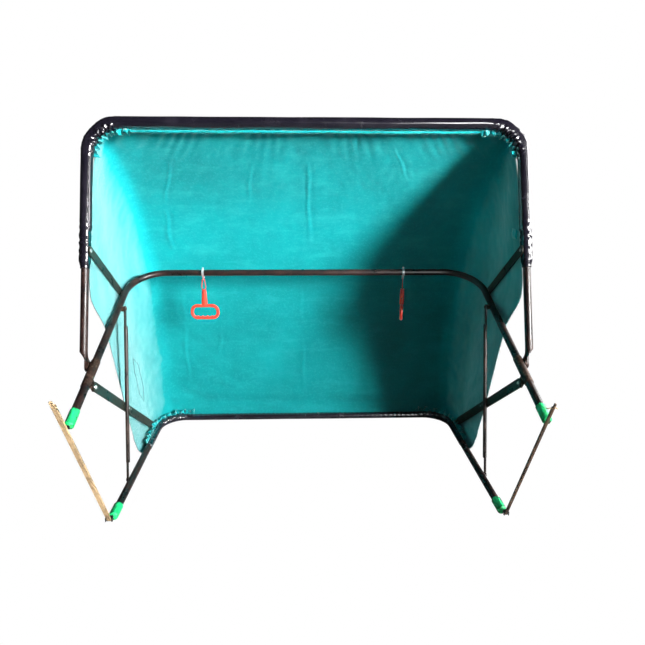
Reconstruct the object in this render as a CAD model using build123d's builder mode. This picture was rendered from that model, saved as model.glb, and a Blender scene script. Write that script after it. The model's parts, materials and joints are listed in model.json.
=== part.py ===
"""Golf chipping net: three nested tube hoops, side links, a cloth sling and two hanging pull handles.

The frame faces -Y.  X runs across the mouth, +Z is up and Z = 0 is the ground.  Each side of the
frame lies in flat layers, from the outside in: rim leg, prop link, middle hoop leg, cross link,
strut, base hoop leg.  A side point is written (y, z) and both sides share it.
"""
import os

from build123d import *

os.makedirs("parts", exist_ok=True)

# ---- driving dimensions, millimetres ------------------------------------------------------------
TUBE_R = 9.0            # all three hoops are 18 mm steel tube
TUBE_WALL = 1.2
RIM_HALF_W = 525.0      # leg centrelines, half the width of each hoop
MIDDLE_HALF_W = 501.0
BASE_HALF_W = 472.0
RIM_CORNER_R = 70.0
MIDDLE_CORNER_R = 100.0
BASE_CORNER_R = 80.0

# side points (y, z)
RIM_BAR = (37.0, 920.0)
RIM_PIVOT_UP_LEG = 185.0    # distance of the rim's pivot from the middle hoop's tip
MIDDLE_BAR = (218.0, 518.0)
MIDDLE_TIP = (-329.0, 304.0)
BASE_BAR = (318.0, 11.0)
BASE_TIP = (-220.0, 11.0)
PROP_TOP_DOWN_LEG = 310.0   # distance of the prop's top from the rim's bar
PROP_BOTTOM_UP_LEG = 489.0
CROSS_TOP = (-195.0, 336.0)
CROSS_BOTTOM = (246.0, 17.0)
STRUT_TOP_UP_LEG = 412.0
STRUT_BOTTOM = (-57.0, 11.0)

# padded sleeves
RIM_SLEEVE_R = 14.5
RIM_SLEEVE_LEG = 262.0      # how far the padding runs down each rim leg from the top bar
RIM_CUFF_R = 10.2           # below the padding the cover is pulled tight round the leg
RIM_CUFF_LEG = 352.0
BASE_SLEEVE_R = 11.0
BASE_SLEEVE_LEG = 200.0
SLEEVE_GAP = 0.15

# side layers: inner and outer X of each flat piece on the right-hand side
BAR_T = 3.0
PROP_X = 511.5
CROSS_X = 487.2
STRUT_X = 482.8         # middle of the strut's flattened ends
STRUT_ROD_X = 481.6
STRUT_R = 5.0
STRUT_FLAT = 46.0
STRUT_END_W = 15.0
PROP_BAR_W = 22.0
CROSS_BAR_W = 23.0
PIVOT_R = 3.2
PIVOT_CLEAR = 0.3
HEAD_R = 5.2
HEAD_T = 2.2

# rim leg ends, flattened and jogged inwards to the pivot lug
RIM_END_X = 515.0
RIM_END_T = 4.0
RIM_END_W = 24.0
RIM_END_UP = 34.0       # from the pivot up to where the leg is still round
RIM_END_FLAT = 14.0     # from the pivot up to where it is fully flat
STRAP_R = 10.4          # pressed strap bracket wrapped round the middle leg
LUG_X = 510.6
LUG_T = 3.6
LUG_R = 12.0
STRAP_PAST = 16.0       # how far the strap runs past its two lugs
CROSS_LUG_X = 491.0
CROSS_LUG_R = 11.0

# foot caps and tie bars
MIDDLE_CAP_R = 10.6
BASE_CAP_R = 11.5       # a little over the axis height, so the base caps get a flat on the ground
CAP_WALL_GAP = 0.15
CAP_LENGTH = 44.0
CAP_SOLE = 4.0
CAP_ROUND = 5.0
PAD_SIZE = (8.0, 11.0)
PAD_OUT = 1.0
PAD_T = 2.0
TIE_PIVOT = (-227.0, 9.0)
TIE_X_LOW = 479.0
TIE_X_HIGH = {"left": 507.0, "right": 496.0}
TIE_REST = (-334.2, 302.2)  # where the strip lies against the pad of the middle foot
TIE_OVER = {"left": 77.0, "right": 57.0}    # how far the strip runs on past the foot
TIE_THIN = 5.0
TIE_WIDE = {"left": 11.0, "right": 6.5}
TIE_NOTCH = 9.0
TIE_TAIL = 3.6
TIE_PIN_R = 1.6

# pull handles
HANDLE_X = {"left": -300.0, "right": 285.0}
HANDLE_TURN = {"left": 0.0, "right": 79.0}
BAND_GAP = 0.4          # between the bar and the hook's band
BAND_T = 1.4
BAND_W = 6.4
BALL_R = 2.9
BALL_UP = 13.6          # from the bar's centre to the ball on top of the band
POST_R = 1.5
POST_DROP = 12.9        # from the bar's centre to the knob on the post
KNOB_H = 1.0
KNOB_OVER = 0.8
BELL_R = 3.7
TAB_T = 2.0
TAB_DROP = 14.9
TAB_EYE_DROP = 3.2
TAB_EYE_R = 1.9
LOOP_TOP = 18.4
LOOP_WIRE_R = 1.1
LOOP_HALF_W = 6.2
LOOP_SHOULDER = 2.8
LOOP_WIDEST_UP = 8.0    # from the stem's top up to where the loop is widest
LOOP_FOOT = 2.4
LOOP_IN_STEM = 4.0
STEM_TOP = 50.0
SCREW_DROP = 28.0
STEM_H = 44.0
STEM_TOP_R = 6.0
STEM_LOW_R = 8.2
STEM_EYE_R = 2.5
GRIP_W = 87.0
GRIP_H = 46.0
GRIP_WIRE_R = 4.6
GRIP_CORNER_R = 16.0
BUMP_R = 4.2
BUMP_PITCH = 14.0
SCREW_R = 2.0

# cloth sling
CLOTH_T = 2.4
# cuts across the sling from the top bar down: front hem (y, z), back (y, z), then half widths at
# the hem, along the wing, at the turn into the back sheet and where the back sheet is flat
CLOTH_SECTIONS = [
    ((49.0, 897.0, 64.0, 899.0), (516.0, 512.0, 506.0, 470.0)),
    ((8.0, 786.0, 150.0, 812.0), (519.0, 518.0, 508.0, 455.0)),
    ((-40.0, 649.0, 240.0, 690.0), (519.0, 519.5, 505.0, 440.0)),
    ((-82.0, 530.0, 300.0, 555.0), (519.0, 520.5, 502.0, 425.0)),
    ((-10.0, 415.0, 342.0, 412.0), (518.0, 519.5, 498.0, 420.0)),
    ((24.0, 270.0, 362.9, 270.0), (509.0, 514.0, 495.0, 415.0)),
    ((54.0, 140.0, 362.9, 135.0), (503.0, 506.0, 494.0, 410.0)),
    ((92.0, 14.0, 342.0, 14.0), (498.0, 500.0, 490.0, 405.0)),
]

SIDES = {"left": -1, "right": 1}


def at(x, point):
    """A 3-D point from an X position and a side point."""
    return Vector(x, point[0], point[1])


def along(start, end, distance):
    """The side point a distance from start towards end."""
    dy, dz = end[0] - start[0], end[1] - start[1]
    length = (dy * dy + dz * dz) ** 0.5
    return (start[0] + dy * distance / length, start[1] + dz * distance / length)


def span(start, end):
    """Length between two side points."""
    return ((end[0] - start[0]) ** 2 + (end[1] - start[1]) ** 2) ** 0.5


RIM_PIVOT = along(MIDDLE_TIP, MIDDLE_BAR, RIM_PIVOT_UP_LEG)
PROP_BOTTOM = along(MIDDLE_TIP, MIDDLE_BAR, PROP_BOTTOM_UP_LEG)
STRUT_TOP = along(MIDDLE_TIP, MIDDLE_BAR, STRUT_TOP_UP_LEG)
PROP_TOP = along(RIM_BAR, RIM_PIVOT, PROP_TOP_DOWN_LEG)


def side_plane(x, origin, towards):
    """A plane facing +X whose own X axis runs from origin towards a second side point."""
    direction = Vector(0, towards[0] - origin[0], towards[1] - origin[1])
    return Plane(origin=at(x, origin), x_dir=direction, z_dir=(1, 0, 0))


def tube_along(points, radii, outer, inner):
    """A round tube swept along straight runs joined by tangent arcs."""
    with BuildPart() as piece:
        with BuildLine() as path:
            FilletPolyline(*points, radius=radii)
        with BuildSketch(Plane(origin=path.line @ 0, z_dir=path.line % 0)):
            Circle(outer)
            Circle(inner, mode=Mode.SUBTRACT)
        sweep(path=path.line)
    return piece.part


def hoop(bar, tip, half_w, corner_r, leg, outer, inner):
    """A U-shaped tube: across the bar and down both legs for the given leg length."""
    end = along(bar, tip, leg)
    points = [at(-half_w, end), at(-half_w, bar), at(half_w, bar), at(half_w, end)]
    return tube_along(points, corner_r, outer, inner)


def round_bar(start, end, radius):
    """A straight cylinder between two 3-D points."""
    axis = end - start
    with BuildPart() as piece:
        with BuildSketch(Plane(origin=start, z_dir=axis)):
            Circle(radius)
        extrude(amount=axis.length)
    return piece.part


def flat_link(x, start, end, width, thickness, overhang, holes):
    """A flat bar with rounded ends, drilled at the given side points."""
    plane = side_plane(x, start, end)
    length = span(start, end)
    with BuildPart() as piece:
        with BuildSketch(plane):
            with Locations((length / 2, 0)):
                SlotOverall(length + 2 * overhang, width)
            for hole in holes:
                with Locations((span(start, hole), 0)):
                    Circle(PIVOT_R + PIVOT_CLEAR, mode=Mode.SUBTRACT)
        extrude(amount=thickness)
        chamfer(piece.edges().filter_by(GeomType.LINE, reverse=True).group_by(Axis.X)[-1], 0.4)
    return piece.part


def pin(sign, x_from, x_to, point, radius, heads):
    """A rivet across the side layers; heads lists (x, outward direction, radius, thickness)."""
    with BuildPart() as piece:
        with BuildSketch(Plane(origin=at(sign * x_from, point), z_dir=(sign, 0, 0))):
            Circle(radius)
        extrude(amount=x_to - x_from)
        for head_x, direction, head_r, head_t in heads:
            with BuildSketch(Plane(origin=at(sign * head_x, point), z_dir=(sign * direction, 0, 0))):
                Circle(head_r)
            extrude(amount=head_t, taper=35)
    return piece.part


def write(part, name, colour):
    part.label = name
    part.color = Color(colour)
    export_step(part, f"parts/{name}.step")


def group(parts):
    """Separate identical solids written as one node."""
    return Compound(children=list(parts))


# ---- hoops --------------------------------------------------------------------------------------
def rim_hoop():
    """The upper hoop; each leg stops above the pivot, where its flattened end is welded on."""
    leg = span(RIM_BAR, RIM_PIVOT) - RIM_END_UP
    return hoop(RIM_BAR, RIM_PIVOT, RIM_HALF_W, RIM_CORNER_R, leg, TUBE_R, TUBE_R - TUBE_WALL)


def rim_end(sign):
    """The squashed end of a rim leg: a loft from the round tube to a flat tongue on the lug."""
    top = along(RIM_PIVOT, RIM_BAR, RIM_END_UP)
    mid = along(RIM_PIVOT, RIM_BAR, RIM_END_FLAT)
    direction = Vector(0, RIM_PIVOT[0] - RIM_BAR[0], RIM_PIVOT[1] - RIM_BAR[1])
    flat_x = sign * (RIM_END_X + RIM_END_T / 2)
    across = Vector(1, 0, 0)
    with BuildPart() as piece:
        with BuildSketch(Plane(origin=at(sign * RIM_HALF_W, top), x_dir=across, z_dir=direction)):
            Circle(TUBE_R)
        with BuildSketch(Plane(origin=at(flat_x, mid), x_dir=across, z_dir=direction)):
            RectangleRounded(RIM_END_T, RIM_END_W, RIM_END_T / 2 - 0.05)
        loft()
        with BuildSketch(side_plane(flat_x - RIM_END_T / 2, mid, RIM_PIVOT)):
            with Locations((RIM_END_FLAT / 2, 0)):
                Rectangle(RIM_END_FLAT + 0.2, RIM_END_W)
            with Locations((RIM_END_FLAT, 0)):
                Circle(RIM_END_W / 2)
                Circle(PIVOT_R + PIVOT_CLEAR, mode=Mode.SUBTRACT)
        extrude(amount=RIM_END_T)
    return piece.part


def middle_hoop():
    """The middle hoop runs right down into its foot caps."""
    leg = span(MIDDLE_BAR, MIDDLE_TIP) - CAP_SOLE
    return hoop(MIDDLE_BAR, MIDDLE_TIP, MIDDLE_HALF_W, MIDDLE_CORNER_R, leg,
                TUBE_R, TUBE_R - TUBE_WALL)


def base_hoop():
    """The base hoop lies on the ground with its bar at the back."""
    leg = span(BASE_BAR, BASE_TIP) - CAP_SOLE
    return hoop(BASE_BAR, BASE_TIP, BASE_HALF_W, BASE_CORNER_R, leg, TUBE_R, TUBE_R - TUBE_WALL)


def rim_sleeve():
    """The padded cover over the rim's bar and upper legs, with a tight cuff below on each leg."""
    inner = TUBE_R + SLEEVE_GAP
    with BuildPart() as piece:
        add(hoop(RIM_BAR, RIM_PIVOT, RIM_HALF_W, RIM_CORNER_R, RIM_SLEEVE_LEG, RIM_SLEEVE_R, inner))
        cuff_top = along(RIM_BAR, RIM_PIVOT, RIM_SLEEVE_LEG - 1.0)
        cuff_low = along(RIM_BAR, RIM_PIVOT, RIM_CUFF_LEG)
        axis = at(0, cuff_low) - at(0, cuff_top)
        for sign in SIDES.values():
            with BuildSketch(Plane(origin=at(sign * RIM_HALF_W, cuff_top), z_dir=axis)):
                Circle(RIM_CUFF_R)
                Circle(inner, mode=Mode.SUBTRACT)
            extrude(amount=axis.length)
    return piece.part


# ---- brackets, links and struts -----------------------------------------------------------------
def leg_bracket(sign):
    """A strap round the middle leg with an outer lug for the rim and a lower lug for the cross link."""
    foot = along(MIDDLE_TIP, MIDDLE_BAR, span(MIDDLE_TIP, CROSS_TOP) * 0.96)
    start = along(foot, MIDDLE_TIP, STRAP_PAST)
    end = along(RIM_PIVOT, MIDDLE_BAR, STRAP_PAST)
    axis = at(0, end) - at(0, start)
    outer_x = LUG_X if sign > 0 else -LUG_X - LUG_T
    lower_x = CROSS_LUG_X if sign > 0 else -CROSS_LUG_X - BAR_T
    with BuildPart() as piece:
        with BuildSketch(Plane(origin=at(sign * MIDDLE_HALF_W, start), x_dir=(1, 0, 0), z_dir=axis)):
            Circle(STRAP_R)
        extrude(amount=axis.length)
        with BuildSketch(side_plane(outer_x, RIM_PIVOT, MIDDLE_BAR)):
            Circle(LUG_R)
        extrude(amount=LUG_T)
        with BuildSketch(Plane(origin=at(sign * (LUG_X - 0.3), RIM_PIVOT), z_dir=(sign, 0, 0))):
            Circle(PIVOT_R + PIVOT_CLEAR)
        extrude(amount=LUG_T + 1.0, mode=Mode.SUBTRACT)
        with BuildSketch(side_plane(lower_x, CROSS_TOP, foot)):
            Circle(CROSS_LUG_R)
            with Locations((CROSS_LUG_R * 0.64, 0)):
                Rectangle(CROSS_LUG_R * 1.28, 2 * CROSS_LUG_R)
        extrude(amount=BAR_T)
        with BuildSketch(side_plane(lower_x, CROSS_TOP, foot)):
            Circle(PIVOT_R + PIVOT_CLEAR)
        extrude(amount=BAR_T, mode=Mode.SUBTRACT)
        with BuildSketch(Plane(origin=at(sign * MIDDLE_HALF_W, start), x_dir=(1, 0, 0), z_dir=axis)):
            Circle(TUBE_R + 0.1)
        extrude(amount=axis.length, mode=Mode.SUBTRACT)
    return piece.part


def collar(sign, x_from, x_to, point, radius):
    """A spacer round a pivot pin that holds two layers apart."""
    with BuildPart() as piece:
        with BuildSketch(Plane(origin=at(sign * x_from, point), z_dir=(sign, 0, 0))):
            Circle(radius)
            Circle(PIVOT_R + PIVOT_CLEAR, mode=Mode.SUBTRACT)
        extrude(amount=x_to - x_from)
    return piece.part


def prop_link(sign):
    """The flat link from the middle hoop's corner up to the rim leg."""
    x = PROP_X if sign > 0 else -PROP_X - BAR_T
    return flat_link(x, PROP_BOTTOM, PROP_TOP, PROP_BAR_W, BAR_T, PROP_BAR_W / 2,
                     [PROP_BOTTOM, PROP_TOP])


def cross_link(sign):
    """The flat link from the back of the base up to the front of the middle hoop's leg."""
    x = CROSS_X if sign > 0 else -CROSS_X - BAR_T
    return flat_link(x, CROSS_BOTTOM, CROSS_TOP, CROSS_BAR_W, BAR_T, CROSS_BAR_W / 2,
                     [CROSS_BOTTOM, CROSS_TOP])


def strut(sign):
    """A round rod with both ends pressed flat and drilled."""
    length = span(STRUT_BOTTOM, STRUT_TOP)
    plane = side_plane(sign * STRUT_X - BAR_T / 2, STRUT_BOTTOM, STRUT_TOP)
    rod_start = along(STRUT_BOTTOM, STRUT_TOP, STRUT_FLAT)
    rod_end = along(STRUT_TOP, STRUT_BOTTOM, STRUT_FLAT)
    axis = at(0, rod_end) - at(0, rod_start)
    with BuildPart() as piece:
        with BuildSketch(Plane(origin=at(sign * STRUT_ROD_X, rod_start), z_dir=axis)):
            Circle(STRUT_R)
        extrude(amount=axis.length)
        chamfer(piece.edges().filter_by(GeomType.CIRCLE), 1.4)
        with BuildSketch(plane):
            for place in (0, length):
                with Locations((place, 0)):
                    Circle(STRUT_END_W / 2)
            for place in (STRUT_FLAT / 2, length - STRUT_FLAT / 2):
                with Locations((place, 0)):
                    Rectangle(STRUT_FLAT + 6.0, STRUT_END_W * 0.8)
            for place in (0, length):
                with Locations((place, 0)):
                    Circle(PIVOT_R + PIVOT_CLEAR, mode=Mode.SUBTRACT)
        extrude(amount=BAR_T)
    return piece.part


# ---- feet and tie bars --------------------------------------------------------------------------
def foot_cap(sign, half_w, tip, inboard, radius):
    """A moulded cap on a tube end, with a rounded sole; what would reach below ground is cut flat."""
    back = along(tip, inboard, CAP_LENGTH)
    axis = at(sign * half_w, back) - at(sign * half_w, tip)
    plane = Plane(origin=at(sign * half_w, tip), x_dir=(1, 0, 0), z_dir=axis)
    with BuildPart() as piece:
        with BuildSketch(plane):
            Circle(radius)
        extrude(amount=CAP_LENGTH)
        fillet(piece.edges().sort_by(lambda edge: (edge.center() - plane.origin).length)[0], CAP_ROUND)
        with BuildSketch(plane.offset(CAP_SOLE)):
            Circle(TUBE_R + CAP_WALL_GAP)
        extrude(amount=CAP_LENGTH, mode=Mode.SUBTRACT)
        split(bisect_by=Plane.XY, keep=Keep.TOP)
    return piece.part


def tie_bar(side):
    """A flat strip from the base foot up past the middle foot, with a notched top end."""
    sign = SIDES[side]
    width = TIE_WIDE[side]
    low = at(sign * TIE_X_LOW, TIE_PIVOT)
    high = at(sign * TIE_X_HIGH[side], TIE_REST)
    axis = (high - low).normalized()
    length = (high - low).length + TIE_OVER[side]
    front = axis.cross(Vector(1, 0, 0)).normalized()
    plane = Plane(origin=low, x_dir=axis, z_dir=front)
    with BuildPart() as piece:
        with BuildSketch(plane.offset(-TIE_THIN / 2)):
            with Locations(((length - TIE_TAIL) / 2, 0)):
                Rectangle(length + TIE_TAIL, width)
        extrude(amount=TIE_THIN)
        chamfer(piece.edges().filter_by(Axis(low, axis)), 0.6)
        with BuildSketch(plane.offset(-TIE_THIN)):
            with Locations((length - TIE_NOTCH / 2, -sign * width * 0.3)):
                Rectangle(TIE_NOTCH + 0.1, width * 0.5)
        extrude(amount=2 * TIE_THIN, mode=Mode.SUBTRACT)
        with BuildSketch(Plane(origin=low - Vector(width, 0, 0), z_dir=(1, 0, 0))):
            Circle(TIE_PIN_R + 0.1)
        extrude(amount=2 * width, mode=Mode.SUBTRACT)
    return piece.part


def tie_clip(sign, width):
    """A small fork screwed to the base foot; the tie bar turns on its pin."""
    x = sign * TIE_X_LOW
    half_bar = width / 2 + 0.9
    with BuildPart() as piece:
        with BuildSketch(Plane(origin=(x, BASE_TIP[0], 0), x_dir=(1, 0, 0), z_dir=(0, -1, 0))):
            with Locations((0, 10.0)):
                Rectangle(2 * half_bar + 4.0, 12.0)
        extrude(amount=2.0)
        with BuildSketch(Plane(origin=(x, BASE_TIP[0] - 2.0, 0), x_dir=(1, 0, 0), z_dir=(0, -1, 0))):
            with Locations((half_bar + 1.0, TIE_PIVOT[1]), (-half_bar - 1.0, TIE_PIVOT[1])):
                Rectangle(2.0, 9.0)
        extrude(amount=8.5)
        with BuildSketch(Plane(origin=(x - half_bar - 3, *TIE_PIVOT), z_dir=(1, 0, 0))):
            Circle(TIE_PIN_R)
        extrude(amount=2 * half_bar + 6, mode=Mode.SUBTRACT)
    return piece.part


def tie_pin(sign, width):
    """The cross pin of the tie bar's fork."""
    half = width / 2 + 3.6
    with BuildPart() as piece:
        with BuildSketch(Plane(origin=(sign * TIE_X_LOW - half, *TIE_PIVOT), z_dir=(1, 0, 0))):
            Circle(TIE_PIN_R - 0.1)
        extrude(amount=2 * half)
    return piece.part


def sole_pad(sign):
    """A black pad on the middle foot's sole that the tie bar lies against."""
    back = along(MIDDLE_TIP, MIDDLE_BAR, 1.0)
    axis = at(0, MIDDLE_TIP) - at(0, back)
    origin = at(sign * (MIDDLE_HALF_W + PAD_OUT), MIDDLE_TIP)
    with BuildPart() as piece:
        with BuildSketch(Plane(origin=origin, x_dir=(1, 0, 0), z_dir=axis)):
            RectangleRounded(*PAD_SIZE, PAD_SIZE[0] / 3)
        extrude(amount=PAD_T)
    return piece.part


# ---- handles ------------------------------------------------------------------------------------
def handle_hook(x):
    """A chrome band round the bar with a ball on top and a short swivel post below it."""
    centre = at(x, MIDDLE_BAR)
    inside = TUBE_R + BAND_GAP
    with BuildPart() as piece:
        with BuildSketch(Plane(origin=centre - Vector(BAND_W / 2, 0, 0), z_dir=(1, 0, 0))):
            Circle(inside + BAND_T)
        extrude(amount=BAND_W)
        chamfer(piece.edges().filter_by(GeomType.CIRCLE), 0.4)
        with Locations(centre + Vector(0, 0, BALL_UP)):
            Sphere(BALL_R)
        with BuildSketch(Plane(origin=centre - Vector(0, 0, inside), z_dir=(0, 0, -1))):
            Circle(POST_R)
        extrude(amount=POST_DROP - inside)
        with BuildSketch(Plane(origin=centre - Vector(0, 0, POST_DROP), z_dir=(0, 0, -1))):
            Circle(POST_R + KNOB_OVER)
        extrude(amount=KNOB_H)
        with BuildSketch(Plane(origin=centre - Vector(BAND_W, 0, 0), z_dir=(1, 0, 0))):
            Circle(inside)
        extrude(amount=2 * BAND_W, mode=Mode.SUBTRACT)
    return piece.part


def handle_swivel(x, turn):
    """A small bell that turns on the post's knob, with a drilled tab for the loop."""
    centre = at(x, MIDDLE_BAR)
    top = TUBE_R + BAND_GAP + BAND_T + 0.4
    knob_top = POST_DROP - 0.3
    knob_low = POST_DROP + KNOB_H + 0.3
    with BuildPart() as piece:
        with BuildSketch(Plane(origin=centre - Vector(0, 0, top), z_dir=(0, 0, -1))):
            Circle(BELL_R)
        extrude(amount=knob_low + 1.2 - top)
        with BuildSketch(Plane(origin=centre - Vector(0, 0, top), z_dir=(0, 0, -1))):
            Circle(POST_R + 0.15)
        extrude(amount=knob_low - top, mode=Mode.SUBTRACT)
        with BuildSketch(Plane(origin=centre - Vector(0, 0, knob_top), z_dir=(0, 0, -1))):
            Circle(POST_R + KNOB_OVER + 0.2)
        extrude(amount=knob_low - knob_top, mode=Mode.SUBTRACT)
        tab = Plane(origin=centre - Vector(0, 0, TAB_DROP)).rotated((0, 0, turn))
        tab = Plane(origin=tab.origin, x_dir=tab.y_dir, z_dir=tab.x_dir)
        with BuildSketch(tab.offset(-TAB_T / 2)):
            with Locations((0, -TAB_EYE_DROP)):
                RectangleRounded(7.0, 6.9, 3.4)
                Circle(TAB_EYE_R, mode=Mode.SUBTRACT)
        extrude(amount=TAB_T)
    return piece.part


def handle_loop(x, turn):
    """A thin red cord loop from the swivel's tab down into the stem."""
    frame = Plane(origin=at(x, MIDDLE_BAR)).rotated((0, 0, turn))
    half = [(LOOP_FOOT, -STEM_TOP - LOOP_IN_STEM), (LOOP_HALF_W, -STEM_TOP + LOOP_WIDEST_UP),
            (LOOP_SHOULDER, -LOOP_TOP)]
    route = [(-across, up) for across, up in half] + half[::-1]
    points = [frame.from_local_coords(Vector(across, 0, up)) for across, up in route]
    with BuildPart() as piece:
        with BuildLine() as path:
            FilletPolyline(*points, radius=[3.5, 2.6, 2.6, 3.5])
        with BuildSketch(Plane(origin=path.line @ 0, z_dir=path.line % 0)):
            Circle(LOOP_WIRE_R)
        sweep(path=path.line)
    return piece.part


def handle_grip(x, turn):
    """One red moulding: a tapered stem and a D ring with four finger bumps on its lower bar."""
    frame = Plane(origin=at(x, MIDDLE_BAR)).rotated((0, 0, turn))
    top_z = -STEM_TOP - STEM_H - GRIP_WIRE_R
    low_z = top_z - GRIP_H + 2 * GRIP_WIRE_R
    half = GRIP_W / 2 - GRIP_WIRE_R
    corners = [(0, low_z), (half, low_z), (half * 0.94, top_z), (-half * 0.94, top_z), (-half, low_z)]
    points = [frame.from_local_coords(Vector(across, 0, up)) for across, up in corners]
    stem_top = frame.origin - Vector(0, 0, STEM_TOP)
    with BuildPart() as piece:
        with BuildLine() as ring:
            FilletPolyline(*points[1:], radius=GRIP_CORNER_R, close=True)
        with BuildSketch(Plane(origin=ring.line @ 0, z_dir=ring.line % 0)):
            Circle(GRIP_WIRE_R)
        sweep(path=ring.line)
        with BuildSketch(Plane(origin=stem_top, x_dir=frame.x_dir, z_dir=(0, 0, -1))):
            Circle(STEM_TOP_R)
        with BuildSketch(Plane(origin=stem_top - Vector(0, 0, STEM_H + 2), x_dir=frame.x_dir,
                               z_dir=(0, 0, -1))):
            Ellipse(STEM_LOW_R + 1.0, STEM_LOW_R - 1.5)
        loft()
        for place in (-1.5, -0.5, 0.5, 1.5):
            bump = frame.from_local_coords(Vector(place * BUMP_PITCH, 0, low_z + 2.4))
            with Locations(bump):
                Sphere(BUMP_R)
        for strand in (-LOOP_FOOT, LOOP_FOOT):
            hole = frame.from_local_coords(Vector(strand, 0, -STEM_TOP))
            with BuildSketch(Plane(origin=hole, z_dir=(0, 0, -1))):
                Circle(STEM_EYE_R)
            extrude(amount=LOOP_IN_STEM + 2.0, mode=Mode.SUBTRACT)
        screw_face = frame.from_local_coords(Vector(-12.0, 0, -STEM_TOP - SCREW_DROP))
        with BuildSketch(Plane(origin=screw_face, z_dir=frame.x_dir)):
            Circle(SCREW_R + 0.1)
        extrude(amount=14.0, mode=Mode.SUBTRACT)
    return piece.part


def handle_screw(x, turn):
    """The small screw across the stem."""
    frame = Plane(origin=at(x, MIDDLE_BAR)).rotated((0, 0, turn))
    start = frame.from_local_coords(Vector(-6.2, 0, -STEM_TOP - SCREW_DROP))
    with BuildPart() as piece:
        with BuildSketch(Plane(origin=start, z_dir=frame.x_dir)):
            Circle(SCREW_R)
        extrude(amount=7.6)
    return piece.part


# ---- cloth --------------------------------------------------------------------------------------
def cloth_section(front, back, half_widths):
    """One cut across the sling: a thin open U from the front hem to the back sheet."""
    hem, side, turn, flat = half_widths
    depth = span(front, back)
    outer = [(hem, 0), (side, 0.6 * depth), (turn, 0.86 * depth), (flat, depth)]
    inner = [(hem - CLOTH_T, 0), (side - CLOTH_T, 0.59 * depth),
             (turn - 0.9 * CLOTH_T, 0.85 * depth - 0.6 * CLOTH_T), (flat - 0.4 * CLOTH_T, depth - CLOTH_T)]
    plane = Plane(origin=at(0, front), x_dir=(1, 0, 0),
                  z_dir=Vector(1, 0, 0).cross(at(0, back) - at(0, front)))
    loop = outer + [(-x, y) for x, y in reversed(outer)] + [(-x, y) for x, y in inner]
    loop += [(x, y) for x, y in reversed(inner)]
    with BuildSketch(plane) as sketch:
        with BuildLine():
            Polyline(*loop, close=True)
        make_face()
    return sketch.sketch


def catch_cloth():
    """The teal sling: hung from the rim and its legs, bellied out behind, fixed along the base bar."""
    with BuildPart() as piece:
        for (front_y, front_z, back_y, back_z), half_widths in CLOTH_SECTIONS:
            add(cloth_section((front_y, front_z), (back_y, back_z), half_widths))
        loft(ruled=True)
    return piece.part


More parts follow.
